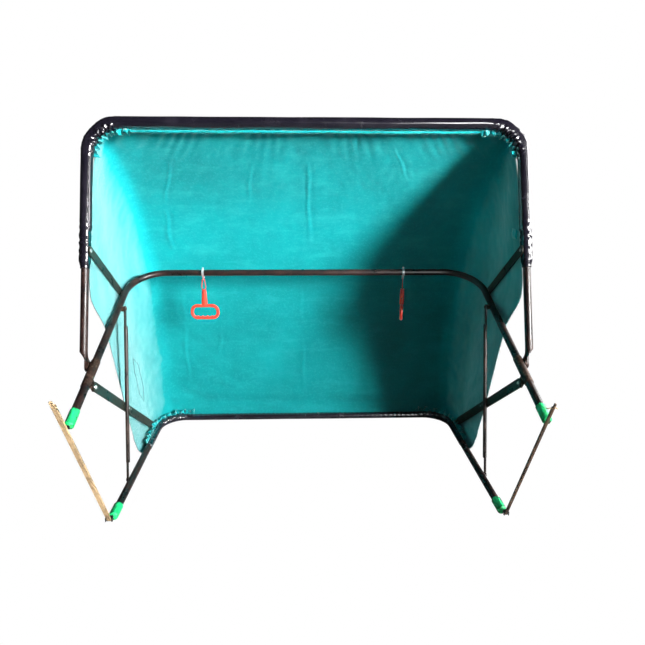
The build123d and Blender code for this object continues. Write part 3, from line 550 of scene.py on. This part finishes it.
def refine(grid, size):
    """The same surface on a finer grid."""
    across, down = size
    rows, columns = grid.shape[:2]
    r_from, c_from = np.linspace(0, 1, rows), np.linspace(0, 1, columns)
    r_to, c_to = np.linspace(0, 1, down + 1), np.linspace(0, 1, across + 1)
    wide = np.stack([[np.interp(c_to, c_from, grid[r, :, k]) for r in range(rows)] for k in range(3)],
                    axis=2)
    tall = np.stack([[np.interp(r_to, r_from, wide[:, c, k]) for c in range(across + 1)] for k in range(3)],
                    axis=2)
    return tall.transpose(1, 0, 2)


def smooth_rows(grid, rounds):
    for _ in range(rounds):
        inner = grid.copy()
        inner[1:-1] = 0.5 * grid[1:-1] + 0.25 * (grid[:-2] + grid[2:])
        inner[:, 1:-1] = 0.5 * inner[:, 1:-1] + 0.25 * (inner[:, :-2] + inner[:, 2:])
        grid = inner
    return grid


def grid_normals(grid):
    """Unit normals of the grid, pointing into the mouth."""
    down = np.gradient(grid, axis=0)
    across = np.gradient(grid, axis=1)
    normal = np.cross(down, across)
    normal /= np.linalg.norm(normal, axis=2, keepdims=True) + 1e-12
    middle = normal[normal.shape[0] // 2, normal.shape[1] // 2]
    return -normal if middle[1] > 0 else normal


# fold lines pressed into the cloth: place across (0 to 1 from the left hem), from and to along the
# cloth, how far it leans to the right by its lower end, height
FOLDS = [
    (0.208, 0.09, 0.24, 0.024, 0.0015), (0.236, 0.26, 0.38, 0.028, 0.0017),
    (0.502, 0.10, 0.36, 0.004, 0.0018), (0.497, 0.13, 0.23, 0.003, -0.0012),
    (0.266, 0.50, 0.62, -0.006, 0.0014), (0.258, 0.64, 0.86, -0.012, 0.0018),
    (0.330, 0.66, 0.76, -0.010, 0.0015), (0.490, 0.48, 0.64, 0.002, 0.0013),
    (0.494, 0.70, 0.92, 0.002, 0.0013), (0.700, 0.05, 0.16, 0.006, 0.0012),
    (0.610, 0.52, 0.72, -0.004, 0.0012), (0.380, 0.10, 0.24, 0.010, 0.0009),
]


def press_folds(grid):
    """Adds the pressed folds, a puckered top edge and a slightly uneven surface."""
    rows, columns = grid.shape[:2]
    normal = grid_normals(grid)
    v = np.linspace(0, 1, rows)[:, None]
    u = np.linspace(0, 1, columns)[None, :]
    push = np.zeros((rows, columns))
    for place, start, stop, lean, height in FOLDS:
        t = np.clip((v - start) / (stop - start), 0, 1)
        bend = 0.0016 * np.sin(t * 9 + place * 50)
        body = np.sin(np.pi * t) ** 0.5
        push += height * body * np.exp(-((u - place - lean * t - bend) / 0.0022) ** 2)
        push -= 0.5 * height * body * np.exp(-((u - place - lean * t - bend - 0.006) / 0.004) ** 2)
    uneven = np.array([[0.0026 * wobble(u_ * 8, v_ * 6, 9.4) + 0.0011 * wobble(u_ * 26, v_ * 12, 3.1)
                        + 0.0005 * wobble(u_ * 80, v_ * 40, 5.2) for u_ in u[0]] for v_ in v[:, 0]])
    held = np.minimum(1, 14 * np.minimum(v, 1 - v)) * np.minimum(1, 30 * np.minimum(u, 1 - u))
    pleat = 0.0018 * np.exp(-v / 0.035) * np.sin(u * 190 + 3 * np.sin(u * 31)) * np.minimum(1, v / 0.01)
    side_pull = 0.0012 * np.exp(-np.minimum(u, 1 - u) / 0.03) * np.sin(v * 95) * (v < 0.42)
    push = (push + uneven) * held + pleat + side_pull * np.minimum(1, 30 * np.minimum(u, 1 - u))
    return grid + normal * push[:, :, None]


def cloth_shell(name, grid, normal, low, high):
    """Both faces of the cloth between two rows, closed all round."""
    part, out = grid[low:high + 1], normal[low:high + 1]
    rows, columns = part.shape[:2]
    cells = np.linalg.norm(np.diff(part, axis=1), axis=2)
    run = np.concatenate([np.zeros((rows, 1)), np.cumsum(cells, axis=1)], axis=1)
    from_hem = np.minimum(run, run[:, -1:] - run)
    thick = np.where(from_hem < HEM_W, HEM_T, CLOTH_T)
    thick = np.where(np.abs(from_hem - HEM_W) < 0.0016, STITCH_T, thick)
    inner, outer = part + out * thick[:, :, None], part - out * CLOTH_T
    count = rows * columns
    faces = grid_faces(rows, columns, flip=True) + grid_faces(rows, columns, start=count)
    for r in range(rows - 1):
        for c in (0, columns - 1):
            a, b = r * columns + c, (r + 1) * columns + c
            faces.append((a, b, count + b, count + a) if c else (b, a, count + a, count + b))
    for r in (0, rows - 1):
        for c in range(columns - 1):
            a, b = r * columns + c, r * columns + c + 1
            faces.append((a, b, count + b, count + a) if r == 0 else (b, a, count + a, count + b))
    verts = np.vstack([inner.reshape(-1, 3), outer.reshape(-1, 3)])
    return new_object(name, verts, faces, MATERIALS["cloth"]), part


def set_normals(obj, grid_in, low, high):
    """Shading normals from the whole cloth, so that its lengths meet without a line at rest."""
    inside = grid_normals(grid_in)[low:high + 1].reshape(-1, 3)
    obj.data.normals_split_custom_set_from_vertices([tuple(n) for n in np.vstack([inside, -inside])])


def catch_cloth():
    """The sling in three lengths, each built as a closed shell of its own."""
    grid = refine(settle(cloth_grid(COARSE)), FINE)
    grid = press_folds(smooth_rows(grid, 8))
    normal = grid_normals(grid)
    before_settling = cloth_grid(FINE)
    down = FINE[1]
    middle_row, lower_row = int(down * UPPER_END), int(down * MIDDLE_END)
    spans = (("upper", 0, middle_row, "rim", "middle"),
             ("middle", middle_row, lower_row, "middle", "strut_left"),
             ("lower", lower_row, down, "strut_left", "base"))
    for name, low, high, first, second in spans:
        obj, part = cloth_shell(f"catch_cloth_{name}", grid, normal, low, high)
        set_normals(obj, grid, low, high)
        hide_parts("catch_cloth")
        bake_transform(obj)
        if first == "middle":
            patch_mark(grid, normal)


# ---- sewn details -------------------------------------------------------------------------------
FRILL_W, FRILL_PITCH = 0.0150, 15.0     # how far a frill stands out, and path points in a pleat


def frill(name, path, outwards, width, height, pitch, body, seed):
    """A gathered strip of cloth: a zigzag of pleats along a path, standing out from it."""
    rng = random.Random(seed)
    lanes = 7
    verts = []
    for i, (point, out, lift) in enumerate(zip(path, *outwards)):
        phase = 2 * math.pi * i / pitch
        swing = math.sin(phase) + 0.4 * math.sin(2.3 * phase + seed)
        reach = width * (0.78 + 0.25 * math.sin(phase * 0.7 + seed) + 0.10 * rng.uniform(-1, 1))
        for k in range(lanes):
            t = k / (lanes - 1)
            pleat = height * (0.3 + 0.7 * t) * swing * min(1, 3 * t + 0.2)
            verts.append(point + out * (reach * t) + lift * pleat)
    obj = new_object(name, verts, grid_faces(len(path), lanes), MATERIALS["cloth"])
    shell = obj.modifiers.new("thickness", "SOLIDIFY")
    shell.thickness = 0.0012
    shell.offset = 0.0
    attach(obj, body)


def corner_line(sign, half_w, corner_r, bar, down, inset, before, after, step=0.0012):
    """Points round the inside of a hoop's corner, with the direction inwards at each."""
    centre = Vector((sign * (half_w - corner_r), 0, 0)) + bar + down * corner_r
    r = corner_r - inset
    points, inwards = [], []
    count = int(before / step)
    for i in range(count):
        points.append(centre + Vector((sign * r, 0, 0)) + down * (before * (1 - i / count)))
        inwards.append(Vector((-sign, 0, 0)))
    turns = int(corner_r * 1.57 / step)
    for i in range(turns + 1):
        a = math.pi / 2 * i / turns
        spoke = Vector((sign * math.cos(a), 0, 0)) - down * math.sin(a)
        points.append(centre + spoke * r)
        inwards.append(-spoke)
    count = int(after / step)
    for i in range(1, count + 1):
        points.append(centre - down * r - Vector((sign * after * i / count, 0, 0)))
        inwards.append(down)
    return points, inwards


def corner_frills():
    """Gathered edges of the cloth where it is drawn round the rim's and the base's corners."""
    for side, sign in SIDES:
        points, inwards = corner_line(sign, RIM_HALF_W, RIM_CORNER_R, RIM_BAR, LEG_DOWN, 0.015, 0.014, 0.030)
        points = [p + LEG_BACK * 0.004 for p in points]
        frill(f"rim_frill_{side}", points, (inwards, [LEG_BACK] * len(points)), FRILL_W, 0.0060,
              FRILL_PITCH, "rim", 3 + sign)
        forward, up = Vector((0, -1, 0)), Vector((0, 0, 1))
        points, inwards = corner_line(sign, BASE_HALF_W, BASE_CORNER_R, BASE_BAR, forward, -0.0050,
                                      0.118, 0.020)
        points = [p + up * 0.0085 for p in points]
        outs = [(up * 0.85 - d * 0.40).normalized() for d in inwards]
        frill(f"base_frill_{side}", points, (outs, inwards), FRILL_W, 0.0050, FRILL_PITCH, "base", 8 + sign)


def top_roll():
    """The rolled edge of the cloth that shows as a pale welt under the rim's bar."""
    count = 420
    path = []
    for i in range(count + 1):
        x = -0.468 + 0.936 * i / count
        ease = max(0.0, (abs(x) - 0.435) / 0.033)
        path.append(Vector((x, 0.0425 + 0.0012 * wobble(x * 14, 1.0),
                            0.9005 - 0.006 * ease ** 2 + 0.0014 * wobble(x * 11, 5.0))))

    def radius(travelled, angle, point, out):
        fat = 0.0034 + 0.0009 * wobble(travelled * 26, math.cos(angle)) + 0.0004 * math.sin(travelled * 300)
        return fat * (1.0 if out.z > 0 else 1.25)

    obj = tube_mesh("cloth_top_roll", path, radius, MATERIALS["cloth"], 14)
    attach(obj, "rim")


def surface_point(grid, normal, u, v, lift):
    r, c = v * (grid.shape[0] - 1), u * (grid.shape[1] - 1)
    i, j = int(r), int(c)
    return Vector(grid[i, j] + normal[i, j] * lift)


def thread_line(name, points, radius):
    """A thin sewn line through surface points."""
    dense = []
    for a, b in zip(points[:-1], points[1:]):
        steps = max(2, int((b - a).length / 0.002))
        dense += [a + (b - a) * k / steps for k in range(steps)]
    dense.append(points[-1])
    obj = tube_mesh(name, dense, lambda travelled, *_: radius * (0.75 + 0.45 * math.sin(travelled * 1500)),
                    THREAD, 8)
    return obj


def patch_mark(grid, normal):
    """The six-sided seam of a mend low on the left, just inside the turn."""
    corners = [(0.091, 0.695), (0.083, 0.745), (0.087, 0.830), (0.103, 0.875), (0.116, 0.820),
               (0.110, 0.730), (0.091, 0.695)]
    points = []
    for (u0, v0), (u1, v1) in zip(corners[:-1], corners[1:]):
        points += [surface_point(grid, normal, u0 + (u1 - u0) * k / 12, v0 + (v1 - v0) * k / 12, 0.0009)
                   for k in range(12)]
    points.append(points[0])
    obj = thread_line("patch_seam", points, 0.0011)
    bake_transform(obj)


def folded_tab():
    """The small doubled tab of cloth by the right rim leg, above the prop link."""
    origin = Vector((0.5150, -0.0280, 0.6680))
    wide, deep, out = Vector((0, 1, 0)), Vector((0, 0.10, -0.99)), Vector((-1, 0, 0))
    tab_w, tab_drop = 0.026, 0.021      # it is folded once, so its cloth is twice the drop
    across, down = 10, 14
    verts = []
    for shift, lift in ((0.0, 0.0), (0.0035, 0.0014)):
        for r in range(down + 1):
            for c in range(across + 1):
                s, t = c / across, r / down
                verts.append(origin + wide * (tab_w * s + shift) + deep * (tab_drop * t - shift)
                             + out * (lift + 0.0004 * math.sin(9 * t + 3 * s)))
    one = (down + 1) * (across + 1)
    faces = grid_faces(down + 1, across + 1) + grid_faces(down + 1, across + 1, start=one)
    # the tab wears the brighter, painted-light copy of the cloth
    obj = new_object("cloth_tab", verts, faces, PAINTED_LIT_CLOTH)
    shell = obj.modifiers.new("thickness", "SOLIDIFY")
    shell.thickness = 0.0011
    shell.offset = 0.0
    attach(obj, "rim")


# ---- hardware details ---------------------------------------------------------------------------
def weld_bead(name, centre, axis, radius, thickness, body):
    """A rough bead or ferrule round a tube."""
    axis = axis.normalized()
    side = axis.cross(Vector((1, 0, 0.01))).normalized()
    other = axis.cross(side)
    rings, around = 9, 28
    verts = []
    for i in range(rings):
        t = i / (rings - 1)
        bulge = math.sin(math.pi * t) ** 0.6
        for k in range(around):
            a = 2 * math.pi * k / around
            rough = 1 + 0.18 * wobble(math.cos(a) * 3, math.sin(a) * 3, centre.x * 40 + t)
            out = side * math.cos(a) + other * math.sin(a)
            height = thickness * 0.28 * bulge * rough
            verts.append(centre + axis * (thickness * (t - 0.5)) + out * (radius + height))
    obj = new_object(name, verts, grid_faces(rings, around, closed=True), MATERIALS["worn_steel"])
    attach(obj, body)


def small_rivet(name, centre, out, radius, body):
    """A low domed rivet head."""
    out = out.normalized()
    side = out.cross(Vector((0, 0.3, 1))).normalized()
    other = out.cross(side)
    rings, around = 6, 18
    verts = [centre + out * radius * 0.42]
    for i in range(1, rings + 1):
        a = math.pi / 2 * i / rings
        for k in range(around):
            b = 2 * math.pi * k / around
            verts.append(centre + (side * math.cos(b) + other * math.sin(b)) * (radius * math.sin(a))
                         + out * (radius * 0.42 * math.cos(a)))
    faces = [(0, 1 + (k + 1) % around, 1 + k) for k in range(around)]
    faces += grid_faces(rings, around, closed=True, start=1, flip=True)
    obj = new_object(name, verts, faces, MATERIALS["bright_steel"])
    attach(obj, body)


def hardware():
    """Weld beads on the middle legs, small rivets on the cross links and the cap's cross pin."""
    middle_tip = Vector((0, -0.329, 0.304))
    middle_axis = Vector((0, 0.547, 0.214)).normalized()
    middle_half_w = 0.501
    bead_r, bead_w, rivet_r = 0.0093, 0.0034, 0.0026
    for side, sign in SIDES:
        out = Vector((sign * middle_half_w, 0, 0))
        for number, distance in enumerate((0.131, 0.202)):
            weld_bead(f"strap_bead_{side}_{number}", out + middle_tip + middle_axis * distance, middle_axis,
                      bead_r, bead_w, "middle")
        link_low, link_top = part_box(f"cross_link_{side}")
        inner = link_low.x if sign > 0 else link_top.x
        start, end = Vector((0, 0.246, 0.017)), Vector((0, -0.195, 0.336))
        for number, part in enumerate((0.50, 0.47)):
            small_rivet(f"link_rivet_{side}_{number}",
                        Vector((inner, 0, 0)) + start + (end - start) * part + Vector((0, 0, 0.004)),
                        Vector((-sign, 0, 0)), rivet_r, f"cross_{side}")
    top = Vector((0.5085, -0.3420, 0.3400))
    pin = [top + Vector((0.004 - 0.026 * t, 0.004 * t, 0.001 * math.sin(6 * t)))
           for t in np.linspace(0, 1, 14)]
    obj = tube_mesh("tie_cross_pin_right", pin, lambda travelled, *_: 0.0016 - 0.0008 * travelled / 0.03,
                    MATERIALS["tie_strip"], 12)
    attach(obj, "tie_right")


# ---- stage --------------------------------------------------------------------------------------
def white_to_camera(tree, output_input, dim_socket):
    """Pure white for the camera's own view of it, and the dim shader for everything else."""
    path = tree.nodes.new("ShaderNodeLightPath")
    white = tree.nodes.new("ShaderNodeEmission")
    white.inputs["Color"].default_value = (1, 1, 1, 1)
    white.inputs["Strength"].default_value = 1.0
    mix = tree.nodes.new("ShaderNodeMixShader")
    tree.links.new(path.outputs["Is Camera Ray"], mix.inputs[0])
    tree.links.new(dim_socket, mix.inputs[1])
    tree.links.new(white.outputs[0], mix.inputs[2])
    tree.links.new(mix.outputs[0], output_input)


def stage():
    """A white surround, a hard window light low on the right, two lights for highlights, a faint fill."""
    half, under = 14.0, -0.0005
    floor_shader = Shader("floor_white", (0.22, 0.22, 0.22), 0.9)
    corners = [(-half, -half, under), (half, -half, under), (half, half, under), (-half, half, under)]
    floor = new_object("floor", corners, [(0, 1, 2, 3)], floor_shader.material)
    tree = floor_shader.tree
    white_to_camera(tree, tree.nodes["Material Output"].inputs["Surface"], floor_shader.bsdf.outputs[0])
    world = bpy.data.worlds.new("studio")
    bpy.context.scene.world = world
    world.use_nodes = True
    dim = world.node_tree.nodes["Background"]
    dim.inputs["Color"].default_value = (0.90, 0.96, 1.0, 1)
    dim.inputs["Strength"].default_value = 0.05
    white_to_camera(world.node_tree, world.node_tree.nodes["World Output"].inputs["Surface"], dim.outputs[0])
    aim = Vector((-0.1, 0.2, 0.95))
    for name, turn, lift, distance, size, beam, power, seen in (
            ("window", 47, 13, 8.0, 1.9, 34, 100, True),
            ("front_glow", 26, 6, 4.0, 1.1, 180, 110, False),
            ("side_glow", 98, 14, 4.0, 2.4, 180, 300, False)):
        light = bpy.data.lights.new(name, "AREA")
        light.size = size
        light.spread = math.radians(beam)
        light.energy = power
        a, e = math.radians(turn), math.radians(lift)
        obj = bpy.data.objects.new(name, light)
        towards = Vector((math.sin(a) * math.cos(e), -math.cos(a) * math.cos(e), math.sin(e)))
        obj.location = aim + towards * distance
        obj.rotation_euler = (aim - obj.location).to_track_quat("-Z", "Y").to_euler()
        obj.visible_diffuse = seen
        bpy.context.scene.collection.objects.link(obj)
    bpy.context.scene.view_settings.view_transform = "Standard"


def camera():
    """Chest height in front of the mouth, a little left of centre, looking slightly down."""
    data = bpy.data.cameras.new("camera")
    data.sensor_width = 36.0
    data.lens = 31.12
    data.shift_x = 0.0147
    data.shift_y = -0.0035
    obj = bpy.data.objects.new("camera", data)
    pitch, yaw, roll = math.radians(16.05), math.radians(1.78), math.radians(0.17)
    turn = (Matrix.Rotation(-yaw, 4, "Z") @ Matrix.Rotation(math.radians(90) - pitch, 4, "X")
            @ Matrix.Rotation(roll, 4, "Z"))
    obj.matrix_world = Matrix.Translation((-0.0294, -1.3885, 0.835)) @ turn
    bpy.context.scene.collection.objects.link(obj)
    bpy.context.scene.camera = obj


def main():
    stage()
    camera()
    dress_cad_nodes()
    rim_sleeve()
    base_sleeve()
    catch_cloth()
    corner_frills()
    top_roll()
    folded_tab()
    hardware()


main()
